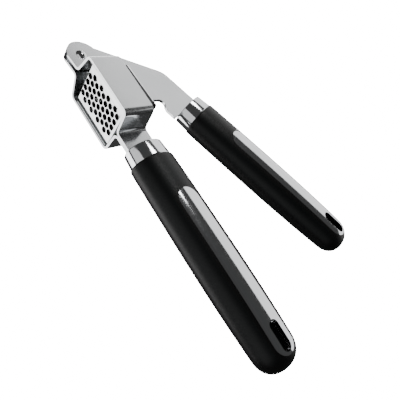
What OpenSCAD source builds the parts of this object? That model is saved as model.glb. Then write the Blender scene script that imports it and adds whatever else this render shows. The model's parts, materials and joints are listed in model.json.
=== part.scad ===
// Garlic press: two stamped frame plates round a perforated pan, a cranked arm
// with a hinged plunger, and two soft grips with bright side inlays.
// Origin: centre of the pivot. +X: lower handle, +Y: opening of the chamber,
// +Z: pivot axis. The press is drawn partly open; the arm closes towards -Y.

/* [Pose] */
// Angle between the two handles in the drawn pose
rest_open = 21.7; // [5:0.1:60]
// Share of the arm's opening that the plunger turns back, to stay level
plunger_follow = 0.9; // [0.85:0.01:1]

/* [Sheet metal] */
// Thickness of the two frame plates
frame_t = 1.4; // [1.2:0.1:1.8]
// Thickness of the upper arm plate
arm_t = 1.8; // [1.4:0.1:2.4]
// Side gap between the arm and each ear
side_gap = 0.1; // [0.1:0.05:0.3]
// Radius of the bends along the middle of the sheet
bend_r = 2.5; // [2:0.1:3]

/* [Pivot] */
// Radius of the rounded ears
ear_r = 8; // [7:0.1:9]
// Radius of the rivet's shank
rivet_r = 2.2; // [1.8:0.1:2.8]
// Radius of the rivet's domed heads
rivet_head_r = 3.1; // [2.9:0.1:4]
// Height of the rivet's domed heads
rivet_head_h = 1.6; // [1:0.1:2]
// Radial clearance of a shaft that turns in a hole
run_clear = 0.05; // [0.02:0.01:0.1]

/* [Chamber] */
// Distance from the pivot to the front of the chamber frame
chamber_x = 13.2; // [12:0.1:16]
// Length of the chamber frame's side wall
chamber_l = 35.4; // [33:0.1:45]
// Width of the chamber frame over both side walls
chamber_w = 29; // [26:0.1:34]
// Height of the chamber frame
chamber_h = 17.4; // [16:0.1:20]
// Lower edge of the chamber frame, below the pivot
chamber_low = 7.3; // [6.5:0.1:8]

/* [Perforated pan] */
// Sheet thickness of the pan
pan_t = 0.7; // [0.5:0.1:1]
// Length of the pan
pan_l = 32.5; // [29:0.1:32.5]
// Height of the pan's rim
pan_h = 15.7; // [10:0.1:16]
// How far the pan sits above the frame's lower edge
pan_recess = 1.3; // [0.5:0.1:2]
// Radius of each hole
hole_r = 1.6; // [1:0.05:1.65]
// Distance between neighbouring holes
hole_pitch = 3.82; // [3.6:0.02:3.9]

/* [Plunger] */
// Clearance between the plunger and the chamber's side walls
plunger_gap = 0.4; // [0.3:0.05:0.8]
// Length of the plunger
plunger_l = 28.4; // [26:0.1:28.5]
// Height of the plunger
plunger_h = 10.8; // [10:0.1:12]
// Radius of the plunger's rolled shoulders
shoulder_r = 2.5; // [2:0.1:3.5]
// Sheet thickness of the plunger shell
plunger_t = 1; // [0.8:0.1:1.2]
// Radius of the plunger pin
pin_r = 1.5; // [1.2:0.1:1.8]

// How far the plunger's front face slants back at its foot
lead_in = 3.4; // [3:0.1:4]
// Height of the slant on the plunger's front face
lead_h = 7; // [5:0.1:7]

/* [Handles] */
// Distance from the pivot to the lower ferrule
lower_x = 61.5; // [60:0.5:75]
// Distance from the pivot to the upper ferrule, with the press closed
upper_x = 56.2; // [56:0.2:70]
// Height of the lower handle's axis over the pivot
lower_axis = 1.9; // [1:0.1:3]
// Distance between the two handle axes with the press closed
axis_spacing = 27.8; // [27:0.1:33]
// Half width of each ferrule at its front, in the plane of the handles
ferrule_a = 10.9; // [10:0.1:11.4]
// Half thickness of each ferrule at its front
ferrule_b = 8.6; // [8:0.1:8.8]
// Length of each ferrule
ferrule_l = 8.7; // [6:0.1:12]
// Length of each grip behind its ferrule
grip_l = 110.9; // [92:0.1:135]
// Half width of the grip at its belly, in the plane of the handles
grip_a = 13.2; // [12:0.1:13.4]
// Half thickness of the grip at its belly
grip_b = 9.5; // [9:0.1:11]
// Length of the hanging slot
slot_l = 14.5; // [10:0.1:16]
// Width of the hanging slot
slot_w = 5.6; // [4.5:0.1:6]
// Half width of the bright inlay
inlay_w = 6; // [5.2:0.1:6.5]

/* [Hidden] */
$fn = 48;
eps = 0.01;
far = 400;

steel = "#b9bbbd";
bright = "#e3e4e6";
rubber = "#141414";
plastic = "#2b2b2b";

// Stack across the pivot
ear_in = arm_t / 2 + side_gap;
ear_out = ear_in + frame_t;
rivet_dome_r = (pow(rivet_head_r, 2) + pow(rivet_head_h, 2)) / (2 * rivet_head_h);

// Chamber frame
side_in = chamber_w / 2 - frame_t;
chamber_top = chamber_h - chamber_low;
neck_x = chamber_x - 3.7;
rear_x = chamber_x + chamber_l;
rear_slant = 1.3;
tang_w = 12;
tang_l = 34;

// Pan
pan_x1 = rear_x - 0.8;
pan_x0 = pan_x1 - pan_l;
pan_y0 = -chamber_low + pan_recess;
pan_corner = 3;
pan_side_r = 2.2;
pan_end_r = 1.2;
foot_r = 2;
hole_cols = 9;
hole_x0 = (pan_x0 + pan_x1) / 2 - (hole_cols - 1) / 2 * hole_pitch * sin(60) - 0.5;

// Plunger, in the closed pose
plunger_x1 = pan_x1 - pan_t - 0.4;
plunger_x0 = plunger_x1 - plunger_l;
plunger_y0 = pan_y0 + pan_t + 0.2;
plunger_half = side_in - pan_t - plunger_gap;
bracket_t = 1.2;
bracket_base = 0.8;
leg_in = arm_t / 2 + 0.3;
lobe_r = 3.4;
pin_x = plunger_x1 - 18.1;
pin_y = plunger_y0 + plunger_t + bracket_base + lobe_r + 0.3;
pin_head_r = pin_r + 0.7;
pin_head_h = 0.8;

// Handles
upper_axis = lower_axis + axis_spacing;
core_l = grip_l + ferrule_l - 24;
core_a = 7.4;
core_b = 5;
spigot_a = 7.8;
spigot_b = 5.8;
cap_t = 1.2;
tang_rivet_r = 1.6;
tang_rivet_s = [ferrule_l + 4, ferrule_l + 18];
slot_s = ferrule_l + grip_l - 13.2;
inlay_s0 = 29.4;
inlay_s1 = ferrule_l + grip_l - 4.6;
inlay_floor = core_b + 1.2;
inlay_gap = 0.06;

function unit(v) = v / norm(v);
function left(v) = [-v[1], v[0]];
function turn_z(p, a) = [p[0] * cos(a) - p[1] * sin(a), p[0] * sin(a) + p[1] * cos(a)];
function arc(c, r, a0, a1, n = 12) =
    [for (i = [0:n]) c + r * [cos(a0 + (a1 - a0) * i / n), sin(a0 + (a1 - a0) * i / n)]];
function angle_of(v) = atan2(v[1], v[0]);

// Rounded corner of radius r at p, between the neighbours q0 and q1
function corner(q0, p, q1, r, n = 8) =
    let (d0 = unit(q0 - p), d1 = unit(q1 - p),
        half = acos(d0 * d1) / 2,
        c = p + unit(d0 + d1) * r / sin(half),
        s = angle_of(p + d0 * r / tan(half) - c),
        e = angle_of(p + d1 * r / tan(half) - c),
        sweep = e - s > 180 ? e - s - 360 : (e - s < -180 ? e - s + 360 : e - s))
    arc(c, r, s, s + sweep, n);

// ---------- placing ----------

module opened() {
    rotate([0, 0, rest_open])
        children();
}

module plunger_pose() {
    translate(concat(turn_z([pin_x, pin_y], rest_open), 0))
        rotate([0, 0, rest_open * (1 - plunger_follow)])
            translate([-pin_x, -pin_y, 0])
                children();
}

module at_lower() {
    translate([lower_x, lower_axis, 0])
        children();
}

module at_upper() {
    opened()
        translate([upper_x, upper_axis, 0])
            children();
}

// ---------- sheet strip that follows a bent path ----------

// One face of the strip, off to the left of its middle line
function face_line(path, r, off) =
    let (last = len(path) - 1)
    concat(
        [path[0] + off * left(unit(path[1] - path[0]))],
        [for (i = [1:last - 1])
            let (d0 = unit(path[i] - path[i - 1]),
                d1 = unit(path[i + 1] - path[i]),
                turn = acos(d0 * d1),
                side = sign(d0[0] * d1[1] - d0[1] * d1[0]),
                c = path[i] - d0 * r * tan(turn / 2) + side * r * left(d0),
                s = angle_of(-side * left(d0)))
            each arc(c, r - side * off, s, s + side * turn, 8)],
        [path[last] + off * left(unit(path[last] - path[last - 1]))]);

function reversed(v) = [for (i = [len(v) - 1:-1:0]) v[i]];

module strip(path, r, t) {
    polygon(concat(face_line(path, r, t / 2), reversed(face_line(path, r, -t / 2))));
}

// ---------- lower frame ----------

plate_path = [
    [-ear_r - 1, ear_in + frame_t / 2],
    [neck_x, ear_in + frame_t / 2],
    [chamber_x, side_in + frame_t / 2],
    [rear_x, side_in + frame_t / 2],
    [rear_x + rear_slant, frame_t / 2],
    [lower_x + tang_l, frame_t / 2]];

module plate_profile() {
    circle(ear_r, $fn = 96);
    polygon([
        [0, -ear_r],
        [neck_x, -chamber_low],
        [lower_x, -chamber_low],
        [lower_x, lower_axis - tang_w / 2],
        [lower_x + tang_l, lower_axis - tang_w / 2],
        [lower_x + tang_l, lower_axis + tang_w / 2],
        [lower_x, lower_axis + tang_w / 2],
        [lower_x, chamber_top],
        [neck_x + 3, chamber_top],
        [neck_x, ear_r],
        [0, ear_r]]);
}

module frame_plate() {
    difference() {
        intersection() {
            translate([0, chamber_top + 1, 0])
                rotate([90, 0, 0])
                    linear_extrude(chamber_h + 4)
                        strip(plate_path, bend_r, frame_t);
            linear_extrude(chamber_w)
                plate_profile();
        }
        cylinder(h = far, r = rivet_r, center = true);
        tang_holes(lower_x, lower_axis);
    }
}

module tang_holes(x, y) {
    for (s = tang_rivet_s)
        translate([x + s, y, 0])
            cylinder(h = far, r = tang_rivet_r, center = true);
}

module lower_plate_near() {
    color(steel)
        frame_plate();
}

module lower_plate_far() {
    color(steel)
        mirror([0, 0, 1])
            frame_plate();
}

// Rounded rectangle in the plan of the chamber, x0..x1 by +-half
module plan_box(x0, x1, half, r) {
    translate([x0 + r, -half])
        square([x1 - x0 - 2 * r, 2 * half]);
    translate([x0, -half + r])
        square([x1 - x0, 2 * half - 2 * r]);
    for (x = [x0 + r, x1 - r])
        for (z = [-half + r, half - r])
            translate([x, z])
                circle(r);
}

// Prism over a plan shape, from height y0 up to y1
module rise(y0, y1) {
    translate([0, y1, 0])
        rotate([90, 0, 0])
            linear_extrude(y1 - y0)
                children();
}

module pan_holes() {
    for (i = [0:hole_cols - 1]) {
        count = i % 2 == 0 ? 4 : 5;
        for (j = [0:count - 1])
            translate([hole_x0 + i * hole_pitch * sin(60), 0, (j - (count - 1) / 2) * hole_pitch])
                rotate([90, 0, 0])
                    cylinder(h = 20, r = hole_r, center = true, $fn = 24);
    }
}

// Flat-bottomed outline from -half to half, its lower corners rounded
module cup_outline(half, y0, y1, r) {
    translate([-half, y0 + r])
        square([2 * half, y1 - y0 - r]);
    translate([-half + r, y0])
        square([2 * half - 2 * r, y1 - y0]);
    for (u = [-half + r, half - r])
        translate([u, y0 + r])
            circle(r);
}

module pan_body(inset, top) {
    y0 = pan_y0 + inset;
    half_l = pan_l / 2 - inset;
    intersection() {
        rise(pan_y0 - 1, top)
            plan_box(pan_x0 + inset, pan_x1 - inset, side_in - inset, pan_corner - inset);
        translate([pan_x0, 0, 0])
            rotate([0, 90, 0])
                linear_extrude(pan_l)
                    cup_outline(side_in - inset, y0, top, pan_side_r - inset);
        translate([pan_x0 + pan_l / 2, 0, -side_in])
            linear_extrude(2 * side_in)
                cup_outline(half_l, y0, top, pan_end_r - inset);
    }
}

module perforated_pan() {
    color(steel)
        difference() {
            pan_body(0, pan_y0 + pan_h);
            pan_body(pan_t, pan_y0 + pan_h + 1);
            pan_holes();
        }
}

module domed_head(z, r, h, dome) {
    intersection() {
        translate([0, 0, z + h - dome])
            sphere(dome, $fn = 96);
        translate([0, 0, z])
            cylinder(h = h + 1, r = r + 1);
    }
}

module pivot_rivet() {
    color(bright) {
        cylinder(h = 2 * ear_out + 2 * eps, r = rivet_r, center = true);
        domed_head(ear_out, rivet_head_r, rivet_head_h, rivet_dome_r);
        mirror([0, 0, 1])
            domed_head(ear_out, rivet_head_r, rivet_head_h, rivet_dome_r);
    }
}

// ---------- handles, drawn from the ferrule's front face along +X ----------

// Half sizes of the grip at the share u of its length
function swell(front, belly, rear, u) =
    u < 0.5 ? belly - (belly - front) * pow(1 - 2 * u, 2)
            : belly - (belly - rear) * pow(2 * u - 1, 2);
tip_l = 10.5;
function tip(x) = x < grip_l - tip_l ? 1
    : pow(max(0, 1 - pow((x - grip_l + tip_l) / tip_l, 2.3)), 1 / 2.3);
function nose(x) = x < 1 ? 0.965 + 0.035 * sqrt(max(0, 1 - pow(1 - x, 2))) : 1;
function grip_size(x, more = 0) =
    nose(x) * tip(x) * [swell(grip_a - 0.5, grip_a, grip_a - 1.6, x / grip_l) + more,
        swell(grip_b - 0.4, grip_b, grip_b - 1.1, x / grip_l) + more];

// Stations along the grip, closer together at both ends
mid_n = 12;
tip_n = 9;
stations = concat(
    [0, 0.3, 1],
    [for (i = [1:mid_n]) 1 + (grip_l - tip_l - 1) * i / mid_n],
    [for (i = [1:tip_n]) grip_l - tip_l + tip_l * sin(90 * i / tip_n) * (i == tip_n ? 0.999 : 1)]);

// Solid through elliptical rings; sizes[i] = [half width, half thickness] at xs[i]
ring_n = 36;
module rings(xs, sizes) {
    m = len(xs);
    points = [for (i = [0:m - 1]) for (k = [0:ring_n - 1])
        [xs[i], sizes[i][0] * cos(360 * k / ring_n), sizes[i][1] * sin(360 * k / ring_n)]];
    walls = [for (i = [0:m - 2]) for (k = [0:ring_n - 1])
        let (k1 = (k + 1) % ring_n)
            each [[i * ring_n + k, i * ring_n + k1, (i + 1) * ring_n + k1],
                [i * ring_n + k, (i + 1) * ring_n + k1, (i + 1) * ring_n + k]]];
    caps = [[for (k = [0:ring_n - 1]) ring_n - 1 - k],
        [for (k = [0:ring_n - 1]) (m - 1) * ring_n + k]];
    polyhedron(points, concat(walls, caps), convexity = 4);
}

module grip_form(more = 0) {
    translate([ferrule_l, 0, 0])
        rings(stations, [for (x = stations) grip_size(x, more)]);
}

module round_bar(x0, x1, a, b, r) {
    translate([x0, 0, 0])
        rotate([90, 0, 90])
            linear_extrude(x1 - x0) {
                square([2 * a - 2 * r, 2 * b], center = true);
                square([2 * a, 2 * b - 2 * r], center = true);
                for (y = [-a + r, a - r])
                    for (z = [-b + r, b - r])
                        translate([y, z])
                            circle(r);
            }
}

module core_form(t) {
    difference() {
        union() {
            round_bar(cap_t, ferrule_l, spigot_a, spigot_b, 3);
            round_bar(ferrule_l - 1, core_l, core_a, core_b, 2);
        }
        translate([0, -tang_w / 2, -t / 2])
            cube([tang_l, tang_w, t]);
        tang_holes(0, 0);
    }
}

module slot_plan(grow = 0) {
    half = slot_l / 2 - slot_w / 2;
    translate([slot_s - half, -slot_w / 2 - grow])
        square([2 * half, slot_w + 2 * grow]);
    for (x = [-half, half])
        translate([slot_s + x, 0])
            circle(slot_w / 2 + grow);
}

module inlay_plan(grow = 0) {
    w = inlay_w + grow;
    translate([inlay_s0 + inlay_w, -w])
        square([inlay_s1 - inlay_s0 - 2 * inlay_w, 2 * w]);
    for (x = [inlay_s0 + inlay_w, inlay_s1 - inlay_w])
        translate([x, 0])
            circle(w);
}

module grip() {
    difference() {
        grip_form();
        round_bar(ferrule_l - 1, core_l, core_a, core_b, 2);
        translate([0, 0, -far / 2])
            linear_extrude(far)
                slot_plan();
        for (side = [0, 1])
            mirror([0, 0, side])
                translate([0, 0, inlay_floor])
                    linear_extrude(far)
                        inlay_plan(inlay_gap);
    }
}

module inlay() {
    difference() {
        grip_form(0.12);
        translate([0, 0, -far])
            linear_extrude(far + inlay_floor)
                square(2 * far, center = true);
        linear_extrude(far)
            difference() {
                square(2 * far, center = true);
                inlay_plan();
            }
        linear_extrude(far)
            slot_plan();
    }
}

module ferrule(t) {
    edge = 0.5;
    difference() {
        rings([0, edge, ferrule_l - edge, ferrule_l],
            [[ferrule_a - edge, ferrule_b - edge],
                [ferrule_a, ferrule_b],
                [ferrule_a + 0.6, ferrule_b + 0.4],
                [ferrule_a + 0.3, ferrule_b + 0.1]]);
        round_bar(cap_t, ferrule_l + 1, spigot_a, spigot_b, 3);
        translate([-1, -tang_w / 2, -t / 2])
            cube([cap_t + 2, tang_w, t]);
    }
}

module tang_rivets() {
    for (s = tang_rivet_s)
        translate([s, 0, 0])
            cylinder(h = 2 * core_b - 1, r = tang_rivet_r, center = true);
}

module lower_tang_rivets() {
    color(steel)
        at_lower()
            tang_rivets();
}

module lower_ferrule() {
    color(bright)
        at_lower()
            ferrule(2 * frame_t);
}

module lower_core() {
    color(plastic)
        at_lower()
            core_form(2 * frame_t);
}

module lower_grip() {
    color(rubber)
        at_lower()
            grip();
}

module lower_inlay_near() {
    color(bright)
        at_lower()
            inlay();
}

module lower_inlay_far() {
    color(bright)
        at_lower()
            mirror([0, 0, 1])
                inlay();
}

// ---------- upper arm, outlined in the closed pose ----------

eye = [-1, 4];
eye_r = 8.9;
crank = 39.8;
arm_top = upper_axis + 10.2;
arm_low = upper_axis - 14.8;
brow = eye + eye_r * [cos(94), sin(94)];
crown_x = brow[0] + (arm_top - brow[1]) / tan(crank);
crown = [crown_x, arm_top];
arm_end = [upper_x, arm_top];
pin_at = [pin_x, pin_y];
lobe_front = pin_at + lobe_r * [cos(218), sin(218)];
lobe_rear = pin_at + lobe_r * [cos(-35), sin(-35)];
armpit = [pin_x - 14.5, pin_y + 13];
notch = [upper_x - 11.2, arm_low + 0.4];
notch_r = 3;

arm_outline = concat(
    arc(eye, eye_r, 94, 292, 28),
    corner(eye + eye_r * [cos(292), sin(292)], armpit, lobe_front, 4),
    arc(pin_at, lobe_r, 218, 325, 10),
    corner(lobe_rear, notch + [-notch_r - 1, -1.5], notch + [-notch_r, 0.5], 2, 4),
    arc(notch, notch_r, 170, 20, 10),
    [[notch[0] + notch_r + 2.2, arm_low]],
    [[upper_x, arm_low],
        [upper_x, upper_axis - tang_w / 2],
        [upper_x + tang_l, upper_axis - tang_w / 2],
        [upper_x + tang_l, upper_axis + tang_w / 2],
        [upper_x, upper_axis + tang_w / 2],
        arm_end],
    corner(arm_end, crown, brow, 9));

module upper_arm() {
    color(steel)
        opened()
            difference() {
                translate([0, 0, -arm_t / 2])
                    linear_extrude(arm_t)
                        polygon(arm_outline);
                cylinder(h = far, r = rivet_r + run_clear, center = true);
                translate([pin_x, pin_y, 0])
                    cylinder(h = far, r = pin_r + run_clear, center = true);
                tang_holes(upper_x, upper_axis);
            }
}

module upper_tang_rivets() {
    color(steel)
        at_upper()
            tang_rivets();
}

module upper_ferrule() {
    color(bright)
        at_upper()
            ferrule(arm_t);
}

module upper_core() {
    color(plastic)
        at_upper()
            core_form(arm_t);
}

module upper_grip() {
    color(rubber)
        at_upper()
            grip();
}

module upper_inlay_near() {
    color(bright)
        at_upper()
            inlay();
}

module upper_inlay_far() {
    color(bright)
        at_upper()
            mirror([0, 0, 1])
                inlay();
}

// ---------- plunger, outlined in the closed pose ----------

// Cross section, drawn in [z, y]
module plunger_section(half, y0, r, foot) {
    y1 = plunger_y0 + plunger_h - shoulder_r;
    flat = plunger_half - shoulder_r;
    translate([-half, y0 + foot])
        square([2 * half, y1 - y0 - foot]);
    translate([-half + foot, y0])
        square([2 * (half - foot), y1 - y0]);
    translate([-flat, y0])
        square([2 * flat, y1 + r - y0]);
    for (z = [-flat, flat])
        translate([z, y1])
            circle(r);
    for (z = [-half + foot, half - foot])
        translate([z, y0 + foot])
            circle(foot);
}

// Side profile with the slanted foot, drawn in [x, y]
module plunger_profile(inset) {
    x0 = plunger_x0 + inset;
    y0 = plunger_y0 + inset;
    polygon([
        [x0 + lead_in, y0],
        [plunger_x1 - inset, y0],
        [plunger_x1 - inset, plunger_y0 + plunger_h + 1],
        [x0, plunger_y0 + plunger_h + 1],
        [x0, y0 + lead_h]]);
}

module plunger_body(inset) {
    intersection() {
        translate([plunger_x0, 0, 0])
            rotate([0, 90, 0])
                linear_extrude(plunger_l)
                    plunger_section(plunger_half - inset, plunger_y0 + inset,
                                    shoulder_r - inset, foot_r - inset);
        rise(plunger_y0 - 1, plunger_y0 + plunger_h + 1)
            plan_box(plunger_x0 + inset, plunger_x1 - inset, plunger_half - inset, 2.4 - inset);
        translate([0, 0, -chamber_w / 2])
            linear_extrude(chamber_w)
                plunger_profile(inset);
    }
}

module plunger_shell() {
    flat = plunger_half - shoulder_r;
    color(steel)
        plunger_pose()
            difference() {
                plunger_body(0);
                plunger_body(plunger_t);
                translate([plunger_x0 + plunger_t + 2, plunger_y0 + plunger_h / 2, -flat])
                    cube([plunger_l - 2 * plunger_t - 2, plunger_h, 2 * flat]);
                translate([plunger_x0 - 1, pin_y - lobe_r - 0.3, -leg_in])
                    cube([plunger_t + lead_in + 3, plunger_h, 2 * leg_in]);
            }
}

module plunger_bracket() {
    base_y = plunger_y0 + plunger_t;
    leg_w = 2 * lobe_r + 1.2;
    color(steel)
        plunger_pose()
            difference() {
                union() {
                    translate([pin_x - leg_w / 2, base_y, -6])
                        cube([leg_w, bracket_base, 12]);
                    for (side = [0, 1])
                        mirror([0, 0, side])
                            translate([0, 0, leg_in])
                                linear_extrude(bracket_t) {
                                    translate([pin_x - leg_w / 2, base_y])
                                        square([leg_w, pin_y - base_y]);
                                    translate([pin_x, pin_y])
                                        circle(leg_w / 2);
                                }
                }
                translate([pin_x, pin_y, 0])
                    cylinder(h = far, r = pin_r, center = true);
            }
}

module plunger_pin() {
    reach = leg_in + bracket_t;
    color(bright)
        plunger_pose()
            translate([pin_x, pin_y, 0]) {
                cylinder(h = 2 * reach, r = pin_r, center = true);
                for (side = [0, 1])
                    mirror([0, 0, side])
                        translate([0, 0, reach])
                            cylinder(h = pin_head_h, r = pin_head_r);
            }
}

lower_plate_near();
lower_plate_far();
perforated_pan();
pivot_rivet();
lower_tang_rivets();
lower_ferrule();
lower_core();
lower_grip();
lower_inlay_near();
lower_inlay_far();
upper_arm();
upper_tang_rivets();
upper_ferrule();
upper_core();
upper_grip();
upper_inlay_near();
upper_inlay_far();
plunger_shell();
plunger_bracket();
plunger_pin();
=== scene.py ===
"""Looks of a garlic press with a perforated chamber and two soft-grip handles."""
import json
import logging
import math
from dataclasses import dataclass
from enum import Enum
from typing import Any, Iterable, Sequence

import bmesh
import bpy
from mathutils import Matrix, Vector


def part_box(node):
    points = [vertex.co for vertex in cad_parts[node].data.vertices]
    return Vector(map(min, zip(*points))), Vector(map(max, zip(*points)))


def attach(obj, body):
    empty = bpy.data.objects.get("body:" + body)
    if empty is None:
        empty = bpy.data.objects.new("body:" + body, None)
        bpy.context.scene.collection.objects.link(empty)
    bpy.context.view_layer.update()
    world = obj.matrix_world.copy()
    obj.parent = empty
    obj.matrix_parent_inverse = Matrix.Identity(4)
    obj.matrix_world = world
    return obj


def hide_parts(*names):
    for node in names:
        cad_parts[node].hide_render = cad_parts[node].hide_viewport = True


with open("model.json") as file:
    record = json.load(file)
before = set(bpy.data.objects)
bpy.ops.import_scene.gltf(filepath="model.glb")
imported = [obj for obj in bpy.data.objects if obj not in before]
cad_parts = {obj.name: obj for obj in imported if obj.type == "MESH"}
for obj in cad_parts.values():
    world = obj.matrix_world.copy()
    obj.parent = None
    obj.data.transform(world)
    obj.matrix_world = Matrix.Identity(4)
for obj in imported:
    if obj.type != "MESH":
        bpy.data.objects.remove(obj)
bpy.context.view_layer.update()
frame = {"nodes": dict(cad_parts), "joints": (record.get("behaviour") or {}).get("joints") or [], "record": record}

LOG = logging.getLogger("garlic_press")
MM = 0.001
MERGE_WITHIN = 1e-6
FLAT_WITHIN = math.radians(1.0)
EASE_ANGLE = 35.0
EASE_STEPS = 2
CURVE_ANGLE = 30.0
THROUGH = 20.0
BROAD_SCALE = 70.0


def linear(code: str) -> tuple[float, float, float, float]:
    """Turns an sRGB hex value such as "#b9bbbd" into linear RGBA.

    Args:
        code: the hex value with its leading hash.

    Returns:
        Red, green, blue and an alpha of one.
    """
    def one(v: float) -> float:
        """Returns one channel made linear."""
        return v / 12.92 if v <= 0.04045 else ((v + 0.055) / 1.055) ** 2.4
    r, g, b = (int(code[i:i + 2], 16) / 255 for i in (1, 3, 5))
    return one(r), one(g), one(b), 1.0


class Half(Enum):
    """Which half of the press a handle belongs to."""

    LOWER = "lower"
    UPPER = "upper"


class Cut(Enum):
    """What a cutting tool leaves of the piece."""

    OUTSIDE = "DIFFERENCE"
    INSIDE = "INTERSECT"


@dataclass(frozen=True)
class Finish:
    """One real finish and the numbers its shader needs.

    Attributes:
        name: what the finish is called.
        colour: sRGB hex of the base.
        shade: sRGB hex of the same base where it is worn or dusty.
        metallic: one for bare metal.
        rough: roughness of the clean surface.
        rough_spread: how far the roughness wanders.
        stretch: pattern scale per axis, in repeats per metre.
        bump: depth of the relief, in metres.
        specular: strength of the clear reflection, one half being plain.
    """

    name: str
    colour: str
    shade: str
    metallic: float
    rough: float
    rough_spread: float
    stretch: tuple[float, float, float]
    bump: float
    specular: float = 0.5

    def build(self) -> bpy.types.Material:
        """Returns the node material for this finish."""
        mat = bpy.data.materials.new(self.name)
        mat.use_nodes = True
        tree = mat.node_tree
        tree.nodes.clear()
        out = node(tree, "ShaderNodeOutputMaterial")
        bsdf = node(tree, "ShaderNodeBsdfPrincipled", Metallic=self.metallic,
                    Specular_IOR_Level=self.specular)
        coords = node(tree, "ShaderNodeTexCoord")
        place = node(tree, "ShaderNodeMapping", Scale=self.stretch)
        fine = node(tree, "ShaderNodeTexNoise", Scale=1.0, Detail=3.0)
        broad = node(tree, "ShaderNodeTexNoise", Scale=BROAD_SCALE, Detail=2.0)
        link(tree, coords, "Object", place, "Vector")
        link(tree, place, "Vector", fine, "Vector")
        link(tree, coords, "Object", broad, "Vector")
        tint = node(tree, "ShaderNodeMix")
        tint.data_type = "RGBA"
        tint.inputs[6].default_value = linear(self.colour)
        tint.inputs[7].default_value = linear(self.shade)
        tree.links.new(broad.outputs["Fac"], tint.inputs[0])
        tree.links.new(tint.outputs[2], bsdf.inputs["Base Color"])
        gloss = node(tree, "ShaderNodeMapRange")
        gloss.inputs["From Min"].default_value = 0.3
        gloss.inputs["From Max"].default_value = 0.7
        gloss.inputs["To Min"].default_value = self.rough - self.rough_spread
        gloss.inputs["To Max"].default_value = self.rough + self.rough_spread
        link(tree, fine, "Fac", gloss, "Value")
        link(tree, gloss, "Result", bsdf, "Roughness")
        relief = node(tree, "ShaderNodeBump", Distance=self.bump, Strength=0.6)
        link(tree, fine, "Fac", relief, "Height")
        link(tree, relief, "Normal", bsdf, "Normal")
        link(tree, bsdf, "BSDF", out, "Surface")
        return mat


def node(tree: bpy.types.NodeTree, kind: str, **inputs: Any) -> bpy.types.Node:
    """Adds a node and sets its named inputs.

    Args:
        tree: the tree to add to.
        kind: the node's type.
        inputs: input names with their values; underscores stand for spaces.

    Returns:
        The new node.
    """
    made = tree.nodes.new(kind)
    for name, value in inputs.items():
        made.inputs[name.replace("_", " ")].default_value = value
    return made


def link(tree: bpy.types.NodeTree, a: bpy.types.Node, out: str,
         b: bpy.types.Node, into: str) -> None:
    """Joins one node's output to another node's input.

    Args:
        tree: the tree that holds both nodes.
        a: the node that gives.
        out: the name of its output.
        b: the node that takes.
        into: the name of its input.
    """
    tree.links.new(a.outputs[out], b.inputs[into])


# Cold-rolled stainless sheet, satin ground: fine lines along the handle.
SATIN_STEEL = Finish("satin_stainless_sheet", "#c3c4c5", "#b4b6b8",
                     1.0, 0.17, 0.03, (300.0, 4000.0, 4000.0), 0.000002)
# Drawn stainless cup, matter than the sheet from its tumbling.
PAN_STEEL = Finish("tumbled_stainless_pan", "#d5d6d6", "#c6c8c9",
                   1.0, 0.24, 0.03, (2500.0, 2500.0, 2500.0), 0.000002)
# Painted shade on the plunger's flanks: a dark steel that stands in for the shade and dark reflection they sit in,
# not a heat-treated finish.
PAINTED_FLANK_SHADE = Finish("painted_flank_shade_steel", "#2a2a2b", "#343536",
                    1.0, 0.3, 0.04, (300.0, 3000.0, 3000.0), 0.000003)
# Painted shade in the pan's holes: their walls made black, standing in for the shade that falls in them.
PAINTED_HOLE_SHADE = Finish("painted_hole_shade", "#0c0c0c", "#131313",
                 0.0, 0.6, 0.04, (3000.0, 3000.0, 3000.0), 0.000002, 0.1)
# Bright chrome plate on zinc, with the faintest wiping marks.
CHROME = Finish("chrome_plate", "#d7d8da", "#cfd1d3",
                1.0, 0.10, 0.02, (400.0, 900.0, 900.0), 0.000001)
# Satin-moulded polypropylene, spark-eroded grain about 0.4 mm wide.
GRIP = Finish("moulded_black_grip", "#070708", "#0c0c0d",
              0.0, 0.42, 0.06, (2600.0, 2600.0, 2600.0), 0.000012, 0.22)
# Glass-filled nylon core, seen only at the grip's mouth.
CORE = Finish("moulded_core", "#161617", "#1d1d1e",
              0.0, 0.5, 0.05, (1800.0, 1800.0, 1800.0), 0.000008)


def bake(obj: bpy.types.Object) -> None:
    """Replaces the object's mesh with its evaluated one and drops its modifiers.

    Args:
        obj: the object to change.
    """
    graph = bpy.context.evaluated_depsgraph_get()
    mesh = bpy.data.meshes.new_from_object(obj.evaluated_get(graph))
    obj.modifiers.clear()
    obj.data = mesh


def smooth_by_angle(obj: bpy.types.Object, degrees: float) -> None:
    """Shades faces smooth where they meet at less than the given angle.

    Args:
        obj: the object to shade.
        degrees: the angle past which an edge stays sharp.
    """
    for poly in obj.data.polygons:
        poly.use_smooth = True
    obj.data.set_sharp_from_angle(angle=math.radians(degrees))


def carve(obj: bpy.types.Object, tool: bpy.types.Object, keep: Cut) -> None:
    """Cuts the object with a tool and removes the tool.

    Args:
        obj: the object to change.
        tool: the cutting object.
        keep: which side of the tool stays.
    """
    cut = obj.modifiers.new("cut", "BOOLEAN")
    cut.operation = keep.value
    cut.solver = "EXACT"
    cut.object = tool
    bake(obj)
    bpy.data.objects.remove(tool, do_unlink=True)


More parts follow.
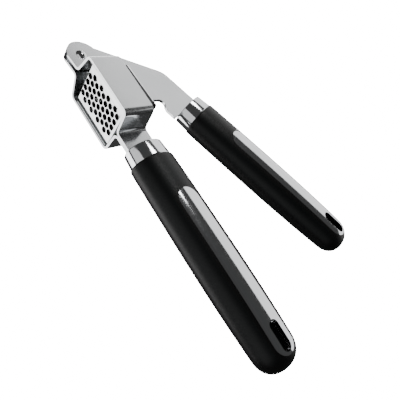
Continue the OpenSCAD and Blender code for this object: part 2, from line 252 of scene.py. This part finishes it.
def eased(node_name: str, mat: bpy.types.Material, width: float,
          join_flats: bool) -> bpy.types.Object:
    """Makes the visible piece of a CAD node, with its edges eased.

    Args:
        node_name: the CAD node.
        mat: its finish.
        width: bevel width in metres.
        join_flats: whether its flat faces are first made whole.

    Returns:
        The new piece, which stands for the node.
    """
    mesh = frame["nodes"][node_name].data.copy()
    work = bmesh.new()
    work.from_mesh(mesh)
    bmesh.ops.remove_doubles(work, verts=work.verts, dist=MERGE_WITHIN)
    if join_flats:
        bmesh.ops.dissolve_limit(work, angle_limit=FLAT_WITHIN, verts=work.verts,
                                 edges=work.edges)
    work.to_mesh(mesh)
    work.free()
    mesh.materials.clear()
    mesh.materials.append(mat)
    piece = bpy.data.objects.new("skin_" + node_name, mesh)
    bpy.context.scene.collection.objects.link(piece)
    bevel = piece.modifiers.new("edge", "BEVEL")
    bevel.width = width
    bevel.segments = EASE_STEPS
    bevel.limit_method = "ANGLE"
    bevel.angle_limit = math.radians(EASE_ANGLE)
    bevel.use_clamp_overlap = True
    bake(piece)
    smooth_by_angle(piece, EASE_ANGLE)
    even = piece.modifiers.new("flat_faces_stay_flat", "WEIGHTED_NORMAL")
    even.weight = 100
    even.keep_sharp = True
    bake(piece)
    return piece


def mesh_object(name: str, verts: Sequence[Sequence[float]], faces: Iterable[Sequence[int]],
                mat: bpy.types.Material, smooth: bool = True) -> bpy.types.Object:
    """Builds a mesh object at the origin.

    Args:
        name: the piece's name.
        verts: points in metres.
        faces: rings of point numbers, outward.
        mat: its material.
        smooth: whether its faces shade smoothly.

    Returns:
        The new object, linked to the scene.
    """
    mesh = bpy.data.meshes.new(name)
    mesh.from_pydata([tuple(v) for v in verts], [], [tuple(f) for f in faces])
    mesh.validate()
    for poly in mesh.polygons:
        poly.use_smooth = smooth
    mesh.materials.append(mat)
    obj = bpy.data.objects.new(name, mesh)
    bpy.context.scene.collection.objects.link(obj)
    return obj


@dataclass(frozen=True)
class Panel:
    """One soft light.

    Attributes:
        name: its name.
        at: its place in metres.
        size: its width and height in metres.
        power: watts.
        aim: the point it faces.
    """

    name: str
    at: tuple[float, float, float]
    size: tuple[float, float]
    power: float
    aim: tuple[float, float, float] = (0.08, 0.02, 0.0)


# Broad walls are what the flat steel mirrors; the small one puts the spark on the rivet.
PANELS = (
    Panel("front_low", (-0.35, -0.95, -0.7), (1.2, 1.0), 17.0, (0.03, 0.0, 0.0)),
    Panel("back_wall", (-0.25, 1.1, 0.56), (2.6, 1.24), 17.0, (-0.1, 0.0, 0.56)),
    Panel("front_wall", (0.2, -1.4, 0.85), (2.6, 1.7), 14.0, (0.1, 0.0, 0.6)),
    Panel("back_low", (-0.75, 0.85, -0.6), (0.9, 0.9), 12.0),
    Panel("spark", (-0.36, 0.36, 1.0), (0.24, 0.24), 2.6),
)


@dataclass
class Studio:
    """White sweep, soft lights and the camera.

    Attributes:
        eye: where the camera stands, in millimetres.
        forward: the way it looks.
        up: the way its top points.
        lens: focal length on a 36 mm sensor.
        surround: strength of the even surround.
        glow: how brightly the floor and backdrop shine by themselves.
        reach: radius and height of the backdrop, in metres.
        sides: flat sides of the backdrop.
        drop: how far the floor lies under the press, in metres.
    """

    eye: tuple[float, float, float] = (145.72, -130.61, 144.38)
    forward: tuple[float, float, float] = (-0.2336, 0.6916, -0.6834)
    up: tuple[float, float, float] = (-0.8087, 0.2520, 0.5315)
    lens: float = 38.46
    surround: float = 0.07
    glow: float = 20.0
    reach: float = 4.0
    sides: int = 48
    drop: float = 0.0002

    def camera(self) -> None:
        """Makes the scene's camera."""
        data = bpy.data.cameras.new("camera")
        data.lens = self.lens
        data.sensor_width = 36.0
        data.clip_start = 0.01
        cam = bpy.data.objects.new("camera", data)
        back = -Vector(self.forward).normalized()
        top = Vector(self.up)
        top = (top - back * top.dot(back)).normalized()
        right = top.cross(back)
        turn = Matrix((right, top, back)).transposed()
        cam.matrix_world = Matrix.Translation(Vector(self.eye) * MM) @ turn.to_4x4()
        bpy.context.scene.collection.objects.link(cam)
        bpy.context.scene.camera = cam

    def hang(self, panel: Panel) -> None:
        """Hangs one soft light.

        Args:
            panel: the light to hang.
        """
        data = bpy.data.lights.new(panel.name, "AREA")
        data.shape = "RECTANGLE"
        data.size, data.size_y = panel.size
        data.energy = panel.power
        lamp = bpy.data.objects.new(panel.name, data)
        lamp.location = panel.at
        way = Vector(panel.aim) - Vector(panel.at)
        lamp.rotation_mode = "QUATERNION"
        lamp.rotation_quaternion = way.to_track_quat("-Z", "Y")
        bpy.context.scene.collection.objects.link(lamp)

    def world(self) -> None:
        """Sets an even pale surround."""
        world = bpy.data.worlds.new("surround")
        world.use_nodes = True
        back = world.node_tree.nodes["Background"]
        back.inputs["Color"].default_value = (1.0, 1.0, 1.0, 1.0)
        back.inputs["Strength"].default_value = self.surround
        bpy.context.scene.world = world

    def floor(self, level: float) -> None:
        """Lays the plain pale floor, with its round backdrop.

        Args:
            level: the floor's height in metres.
        """
        mat = bpy.data.materials.new("pale_floor")
        mat.use_nodes = True
        bsdf = mat.node_tree.nodes["Principled BSDF"]
        bsdf.inputs["Base Color"].default_value = linear("#fdfdfd")
        bsdf.inputs["Roughness"].default_value = 0.9
        bsdf.inputs["Emission Color"].default_value = (1.0, 1.0, 1.0, 1.0)
        bsdf.inputs["Emission Strength"].default_value = self.glow
        reach, sides = self.reach, self.sides
        ring = [(reach * math.cos(t), reach * math.sin(t))
                for t in (2 * math.pi * k / sides for k in range(sides))]
        corners = [(x, y, z) for z in (level, level + reach) for x, y in ring]
        faces = [list(range(sides))]
        faces += [[k, (k + 1) % sides, sides + (k + 1) % sides, sides + k][::-1]
                  for k in range(sides)]
        sheet = mesh_object("floor", corners, faces, mat, smooth=False)
        sheet.visible_glossy = False
        sheet.visible_diffuse = False
        sheet.visible_shadow = False


@dataclass
class Handle:
    """One grip with its inlays and ferrule, drawn along +X from the ferrule's front.

    Attributes:
        half: the half of the press it belongs to.
        place: where its own frame stands.
        grip_l: length of the grip, in millimetres, like every size here.
        ferrule_l: length of the ferrule.
        belly: half width and half thickness at the belly.
        front_less: how much less both are at the front.
        rear_less: how much less both are at the rear.
        tip_l: length of the rounded end.
        tip_power: how square the rounded end is.
        floor: height of the inlay pocket's floor.
        inlay: start, end and half width of the inlay.
        slot: centre, length and width of the hanging slot.
        collar_front: half width and half thickness of the ferrule's front.
        flare: how much wider and thicker the ferrule's rear is.
        lip: radius of the ferrule's rounded edges.
        rear_round: how far the ferrule's rear edge draws in.
        play: clearance round an inlay in its pocket.
        proud: how far an inlay stands out of the grip.
        ring: points round each section.
    """

    half: Half
    place: Matrix
    grip_l: float = 110.9
    ferrule_l: float = 8.7
    belly: tuple[float, float] = (13.2, 9.5)
    front_less: tuple[float, float] = (0.5, 0.4)
    rear_less: tuple[float, float] = (1.6, 1.1)
    tip_l: float = 10.5
    tip_power: float = 2.3
    floor: float = 6.2
    inlay: tuple[float, float, float] = (29.4, 115.0, 6.0)
    slot: tuple[float, float, float] = (106.4, 14.5, 5.6)
    collar_front: tuple[float, float] = (10.9, 8.6)
    flare: tuple[float, float] = (0.6, 0.4)
    lip: float = 0.5
    rear_round: float = 0.3
    play: float = 0.1
    proud: float = 0.12
    ring: int = 128

    def half_size(self, x: float, axis: int) -> float:
        """Gives a half size of the grip's section.

        Args:
            x: place along the grip.
            axis: 0 for the half width, 1 for the half thickness.

        Returns:
            The half size there, in millimetres.
        """
        u = x / self.grip_l
        mid = self.belly[axis]
        less = self.front_less[axis] if u < 0.5 else self.rear_less[axis]
        size = mid - less * (2 * u - 1) ** 2
        past = (x - self.grip_l + self.tip_l) / self.tip_l
        if past > 0:
            size *= max(0.0, 1 - past ** self.tip_power) ** (1 / self.tip_power)
        if x < 1:
            size *= 0.965 + 0.035 * math.sqrt(1 - (1 - x) ** 2)
        return size

    def stations(self) -> list[float]:
        """Returns the places along the grip where sections stand."""
        front = [1 - math.cos(math.radians(a)) for a in range(0, 91, 15)]
        middle = [1 + (self.grip_l - self.tip_l - 1) * i / 60 for i in range(1, 61)]
        tip = [self.grip_l - self.tip_l + self.tip_l * math.sin(math.radians(a))
               for a in (6, 12, 18, 24, 30, 36, 42, 48, 54, 60, 65, 70, 75, 79, 83, 86, 88.2)]
        return front + middle + tip

    def loft(self, name: str, grow: float, mat: bpy.types.Material) -> bpy.types.Object:
        """Builds the grip's form, grown outward by a distance.

        Args:
            name: the object's name.
            grow: extra half size in millimetres.
            mat: its material.

        Returns:
            The closed form, placed.
        """
        rows = []
        for x in self.stations():
            a, b = self.half_size(x, 0) + grow, self.half_size(x, 1) + grow
            rows.append([(self.ferrule_l + x, a * math.cos(t), b * math.sin(t))
                         for t in (2 * math.pi * k / self.ring for k in range(self.ring))])
        return self.tube(name, rows, mat)

    def tube(self, name: str, rows: list[list[tuple[float, float, float]]],
             mat: bpy.types.Material) -> bpy.types.Object:
        """Skins rows of points, capped at both ends, and places the result.

        Args:
            name: the object's name.
            rows: rings of points, all with the same count.
            mat: its material.

        Returns:
            The closed form, placed.
        """
        n = len(rows[0])
        verts = [self.place @ (Vector(p) * MM) for row in rows for p in row]
        faces: list[list[int]] = []
        for i in range(len(rows) - 1):
            for k in range(n):
                m = (k + 1) % n
                faces.append([i * n + k, i * n + m, (i + 1) * n + m, (i + 1) * n + k][::-1])
        faces.append(list(range(n)))
        last = (len(rows) - 1) * n
        faces.append([last + k for k in range(n)][::-1])
        obj = mesh_object(name, verts, faces, mat)
        work = bmesh.new()
        work.from_mesh(obj.data)
        bmesh.ops.recalc_face_normals(work, faces=work.faces)
        work.to_mesh(obj.data)
        work.free()
        return obj

    def stadium(self, x0: float, x1: float, half: float, low: float, high: float,
                mat: bpy.types.Material) -> bpy.types.Object:
        """Builds an upright prism with rounded ends.

        Args:
            x0: where it starts along the grip.
            x1: where it ends.
            half: its half width, and the radius of its ends.
            low: its lower height.
            high: its upper height.
            mat: its material.

        Returns:
            The closed prism, placed.
        """
        outline = []
        for centre, start in ((x1 - half, -90), (x0 + half, 90)):
            for i in range(33):
                t = math.radians(start + 180 * i / 32)
                outline.append((centre + half * math.cos(t), half * math.sin(t)))
        rows = [[(x, y, z) for x, y in outline] for z in (low, high)]
        return self.tube("tool", rows, mat)

    def slot_tool(self, mat: bpy.types.Material) -> bpy.types.Object:
        """Builds the tool that opens the hanging slot.

        Args:
            mat: the finish its cut faces take.

        Returns:
            The tool, which goes right through the grip.
        """
        mid, length, width = self.slot
        return self.stadium(mid - length / 2, mid + length / 2, width / 2,
                            -THROUGH, THROUGH, mat)

    def build(self, grip: bpy.types.Material, bright: bpy.types.Material) -> None:
        """Makes the grip, its inlays and the ferrule.

        Args:
            grip: the grip's finish.
            bright: the finish of the inlays and the ferrule.
        """
        half_name = self.half.value
        shell = self.loft(f"{half_name}_grip_skin", 0.0, grip)
        x0, x1, half = self.inlay
        for low, high in ((self.floor, THROUGH), (-THROUGH, -self.floor)):
            carve(shell, self.stadium(x0 - self.play, x1 + self.play, half + self.play,
                                      low, high, grip), Cut.OUTSIDE)
        carve(shell, self.slot_tool(grip), Cut.OUTSIDE)
        smooth_by_angle(shell, CURVE_ANGLE)
        self.declare(shell, f"{half_name}_grip")
        self.collar(bright)
        for side, low, high in (("near", self.floor, THROUGH), ("far", -THROUGH, -self.floor)):
            strip = self.loft(f"{half_name}_inlay_{side}_skin", self.proud, bright)
            carve(strip, self.stadium(x0, x1, half, low, high, bright), Cut.INSIDE)
            carve(strip, self.slot_tool(bright), Cut.OUTSIDE)
            smooth_by_angle(strip, CURVE_ANGLE)
            self.declare(strip, f"{half_name}_inlay_{side}")

    def collar(self, bright: bpy.types.Material) -> None:
        """Makes the ferrule, with a rounded front lip and a slight flare.

        Args:
            bright: its finish.
        """
        (a, b), lip, (more_a, more_b) = self.collar_front, self.lip, self.flare
        turn = [math.radians(d) for d in range(0, 91, 10)]
        shape = [(lip * (1 - math.cos(t)), lip * (math.sin(t) - 1)) for t in turn]
        rows = [(x, a + g, b + g) for x, g in shape]
        rows.append((self.ferrule_l - lip, a + more_a, b + more_b))
        rows += [(self.ferrule_l - lip + lip * math.sin(t),
                  a + more_a - self.rear_round * (1 - math.cos(t)),
                  b + more_b - self.rear_round * (1 - math.cos(t)))
                 for t in turn[1:]]
        rings = [[(x, p * math.cos(t), q * math.sin(t))
                  for t in (2 * math.pi * k / self.ring for k in range(self.ring))]
                 for x, p, q in rows]
        piece = self.tube(f"{self.half.value}_ferrule_skin", rings, bright)
        smooth_by_angle(piece, CURVE_ANGLE)
        self.declare(piece, f"{self.half.value}_ferrule")

    def declare(self, obj: bpy.types.Object, node_name: str) -> None:
        """Rides the piece on its body in place of a CAD node.

        Args:
            obj: the finished piece.
            node_name: the CAD node it stands for.
        """
        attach(obj, f"{self.half.value}_half")
        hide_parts(node_name)
        LOG.info("%s stands for %s", obj.name, node_name)


@dataclass
class PanRims:
    """The fine rolled rim round each hole of the pan.

    Attributes:
        pitch: distance between holes, in millimetres.
        columns: rows of holes along the pan.
        radius: rim radius.
        wire: radius of the rolled edge.
        shift: how far the field sits in front of the pan's middle.
        sink: how much of the wire's radius lies in the sheet.
    """

    pitch: float = 3.82
    columns: int = 9
    radius: float = 1.67
    wire: float = 0.07
    shift: float = 0.5
    sink: float = 0.35

    def tree(self, mat: bpy.types.Material) -> bpy.types.NodeTree:
        """Builds the node tree that sets a ring on every point.

        Args:
            mat: the rims' finish.

        Returns:
            The tree, with inputs for the rim and the wire.
        """
        tree = bpy.data.node_groups.new("hole_rims", "GeometryNodeTree")
        face = tree.interface
        face.new_socket("Geometry", in_out="INPUT", socket_type="NodeSocketGeometry")
        for name, value in (("Rim radius", self.radius * MM), ("Wire radius", self.wire * MM)):
            sock = face.new_socket(name, in_out="INPUT", socket_type="NodeSocketFloat")
            sock.default_value = value
        face.new_socket("Geometry", in_out="OUTPUT", socket_type="NodeSocketGeometry")
        start, end = node(tree, "NodeGroupInput"), node(tree, "NodeGroupOutput")
        ring = node(tree, "GeometryNodeCurvePrimitiveCircle", Resolution=40)
        wire = node(tree, "GeometryNodeCurvePrimitiveCircle", Resolution=8)
        sweep = node(tree, "GeometryNodeCurveToMesh")
        turn = node(tree, "GeometryNodeTransform", Rotation=(math.pi / 2, 0.0, 0.0))
        spread = node(tree, "GeometryNodeInstanceOnPoints")
        real = node(tree, "GeometryNodeRealizeInstances")
        finish = node(tree, "GeometryNodeSetMaterial", Material=mat)
        link(tree, start, "Rim radius", ring, "Radius")
        link(tree, start, "Wire radius", wire, "Radius")
        link(tree, ring, "Curve", sweep, "Curve")
        link(tree, wire, "Curve", sweep, "Profile Curve")
        link(tree, sweep, "Mesh", turn, "Geometry")
        link(tree, start, "Geometry", spread, "Points")
        link(tree, turn, "Geometry", spread, "Instance")
        link(tree, spread, "Instances", real, "Geometry")
        link(tree, real, "Geometry", finish, "Geometry")
        link(tree, finish, "Geometry", end, "Geometry")
        return tree

    def build(self, mat: bpy.types.Material) -> None:
        """Makes the rims on the pan's underside.

        Args:
            mat: the rims' finish.
        """
        lo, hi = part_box("perforated_pan")
        step = self.pitch * math.sin(math.radians(60)) * MM
        first = (lo[0] + hi[0]) / 2 - (self.columns - 1) / 2 * step - self.shift * MM
        points = []
        for i in range(self.columns):
            count = 4 if i % 2 == 0 else 5
            points += [(first + i * step, lo[1] + self.wire * self.sink * MM,
                        (j - (count - 1) / 2) * self.pitch * MM) for j in range(count)]
        rims = mesh_object("pan_hole_rims", points, [], mat)
        mod = rims.modifiers.new("rims", "NODES")
        mod.node_group = self.tree(mat)
        sockets = {s.name: s.identifier for s in mod.node_group.interface.items_tree
                   if s.in_out == "INPUT"}
        mod[sockets["Rim radius"]] = self.radius * MM
        mod[sockets["Wire radius"]] = self.wire * MM
        bake(rims)
        for poly in rims.data.polygons:
            poly.use_smooth = True
        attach(rims, "lower_half")


@dataclass
class Press:
    """The whole press: sheet parts with eased edges and two handles.

    Attributes:
        edge: how far sheet edges are eased, in millimetres.
        shoulder_lean: how far a plunger face leans up before it is spared the painted shade and stays bright.
        pan_rim: width of the plain rim at the pan's ends, in millimetres.
        pan_side: width of the plain rim at the pan's sides, in millimetres.
        wall_lean: how far a hole's wall may lean and still be a wall.
    """

    edge: float = 0.22
    shoulder_lean: float = 0.12
    pan_rim: float = 0.7
    pan_side: float = 2.6
    wall_lean: float = 0.6

    def open_angle(self) -> float:
        """Returns the angle between the handles at rest, in radians."""
        joint = next(j for j in frame["joints"] if j["name"] == "arm_pivot")
        return math.radians(-joint["range_deg"][0])

    def handle_places(self) -> tuple[Matrix, Matrix]:
        """Returns where the lower and the upper handle's own frames stand."""
        lo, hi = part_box("lower_ferrule")
        lower = Matrix.Translation((lo[0], (lo[1] + hi[1]) / 2, 0.0))
        turn = Matrix.Rotation(self.open_angle(), 4, "Z")
        back = turn.inverted()
        points = [back @ v.co for v in frame["nodes"]["upper_ferrule"].data.vertices]
        xs, ys = [p.x for p in points], [p.y for p in points]
        upper = turn @ Matrix.Translation((min(xs), (min(ys) + max(ys)) / 2, 0.0))
        return lower, upper

    def paint_flank_shade(self, piece: bpy.types.Object, dark: bpy.types.Material) -> None:
        """Paints shade on every face of the plunger but its rolled shoulders, chosen by the way each face points.

        Args:
            piece: the plunger's shell.
            dark: the dark material that carries the painted shade.
        """
        piece.data.materials.append(dark)
        for poly in piece.data.polygons:
            # Painted shade: faces that do not lean up toward +Y take the dark steel, and the rolled shoulders keep
            # the bright one.
            if poly.normal.y < self.shoulder_lean:
                poly.material_index = 1

    def paint_hole_shade(self, piece: bpy.types.Object, dark: bpy.types.Material) -> None:
        """Paints shade on the walls of the pan's holes, where shade falls in them.

        Args:
            piece: the pan.
            dark: the dark material that carries the painted shade.
        """
        lo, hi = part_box("perforated_pan")
        rim, side = self.pan_rim * MM, self.pan_side * MM
        piece.data.materials.append(dark)
        for poly in piece.data.polygons:
            c = poly.center
            inner = lo[0] + rim < c.x < hi[0] - rim and abs(c.z) < hi[2] - side
            # Painted shade: hole walls inside the field take the black material in place of the steel.
            if inner and c.y < lo[1] + MM and abs(poly.normal.y) < self.wall_lean:
                poly.material_index = 1

    def build(self) -> None:
        """Makes every visible piece."""
        finishes = (SATIN_STEEL, PAN_STEEL, PAINTED_FLANK_SHADE, PAINTED_HOLE_SHADE, CHROME, GRIP, CORE)
        made = {finish.name: finish.build() for finish in finishes}
        wears: dict[Finish, dict[str, float]] = {
            SATIN_STEEL: {"lower_plate_near": self.edge, "lower_plate_far": self.edge,
                          "upper_arm": self.edge, "plunger_shell": self.edge,
                          "plunger_bracket": self.edge, "lower_tang_rivets": 0.0,
                          "upper_tang_rivets": 0.0},
            PAN_STEEL: {"perforated_pan": 0.05},
            CHROME: {"pivot_rivet": 0.05, "plunger_pin": 0.15},
            CORE: {"lower_core": 0.0, "upper_core": 0.0},
        }
        body_of = {n: b for b, names in frame["record"]["behaviour"]["bodies"].items()
                   for n in names}
        for finish, names in wears.items():
            for name, width in names.items():
                if width:
                    piece = eased(name, made[finish.name], width * MM,
                                  join_flats=name != "perforated_pan")
                    # The plunger's flanks get painted shade.
                    if name == "plunger_shell":
                        self.paint_flank_shade(piece, made[PAINTED_FLANK_SHADE.name])
                    # The pan's hole walls get painted shade.
                    if name == "perforated_pan":
                        self.paint_hole_shade(piece, made[PAINTED_HOLE_SHADE.name])
                    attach(piece, body_of[name])
                    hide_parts(name)
                else:
                    data = frame["nodes"][name].data
                    data.materials.clear()
                    data.materials.append(made[finish.name])
                LOG.info("%s wears %s", name, finish.name)
        PanRims().build(made[PAN_STEEL.name])
        for half, place in zip(Half, self.handle_places()):
            Handle(half, place).build(made[GRIP.name], made[CHROME.name])


def main() -> None:
    """Builds the scene in order."""
    logging.basicConfig(level=logging.INFO, format="%(name)s: %(message)s")
    Press().build()
    studio = Studio()
    lowest = min(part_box(name)[0][2] for name in frame["nodes"])
    studio.floor(lowest - studio.drop)
    studio.world()
    for panel in PANELS:
        studio.hang(panel)
    studio.camera()


if __name__ == "__main__":
    main()
